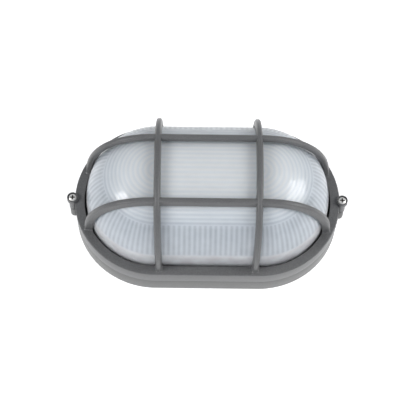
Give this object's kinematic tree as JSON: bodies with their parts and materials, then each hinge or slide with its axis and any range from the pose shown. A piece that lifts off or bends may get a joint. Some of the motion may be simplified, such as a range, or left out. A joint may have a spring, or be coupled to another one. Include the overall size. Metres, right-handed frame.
{
  "type": "bulkhead light",
  "caption": "Oval wall light: ribbed glass dome held under a cast guard ring with crossed cage bars, on a shallow cast base with the lampholder and terminals inside.",
  "frame": {"origin": "middle of the flat back that lies on the wall", "axes": "+X along the length, towards the cable grommet, +Y across the width, +Z out of the wall through the glass"},
  "size_m": [0.2648, 0.154, 0.1099],
  "materials": {
    "guard_enamel": "grey enamel over cast aluminium, satin with a fine orange peel",
    "base_enamel": "grey enamel over cast aluminium, satin",
    "ribbed_glass": "pressed clear glass, smooth outside, ribbed and fluted inside",
    "gasket_rubber": "matt black",
    "cover_screw_steel": "bright plated steel",
    "inner_screw_steel": "plated steel",
    "tray_enamel": "white stove enamel on pressed steel, gloss",
    "bracket_steel": "zinc plated sheet, satin",
    "holder_porcelain": "glazed white porcelain",
    "shell_brass": "bright drawn brass",
    "contact_bronze": "phosphor bronze strip, satin",
    "lamp_opal": "opal glass with an aluminium cap",
    "terminal_nylon": "natural nylon",
    "lead_brown": "brown insulation",
    "lead_blue": "blue insulation",
    "lead_green_yellow": "green and yellow insulation",
    "grommet_rubber": "matt black"
  },
  "bodies": {
    "root": {"base_housing": "base_enamel", "guard_frame": "guard_enamel", "glass_diffuser": "ribbed_glass", "glass_gasket": "gasket_rubber", "cover_screw_left": "cover_screw_steel", "cover_screw_right": "cover_screw_steel", "gear_tray": "tray_enamel", "tray_screw": "inner_screw_steel", "bracket_screw_front": "inner_screw_steel", "bracket_screw_rear": "inner_screw_steel", "lampholder_bracket": "bracket_steel", "lampholder_body": "holder_porcelain", "lampholder_shell": "shell_brass", "lampholder_contact": "contact_bronze", "lampholder_screw_front": "inner_screw_steel", "lampholder_screw_rear": "inner_screw_steel", "lamp": "lamp_opal", "terminal_block": "terminal_nylon", "terminal_sleeve_1": "shell_brass", "terminal_sleeve_2": "shell_brass", "terminal_sleeve_3": "shell_brass", "clamp_screw_1_lamp_side": "inner_screw_steel", "clamp_screw_1_mains_side": "inner_screw_steel", "clamp_screw_2_lamp_side": "inner_screw_steel", "clamp_screw_2_mains_side": "inner_screw_steel", "clamp_screw_3_lamp_side": "inner_screw_steel", "clamp_screw_3_mains_side": "inner_screw_steel", "terminal_block_screw": "inner_screw_steel", "earth_tag": "contact_bronze", "earth_screw": "inner_screw_steel", "live_lead": "lead_brown", "neutral_lead": "lead_blue", "earth_lead": "lead_green_yellow", "cable_grommet": "grommet_rubber"}
  },
  "joints": []
}
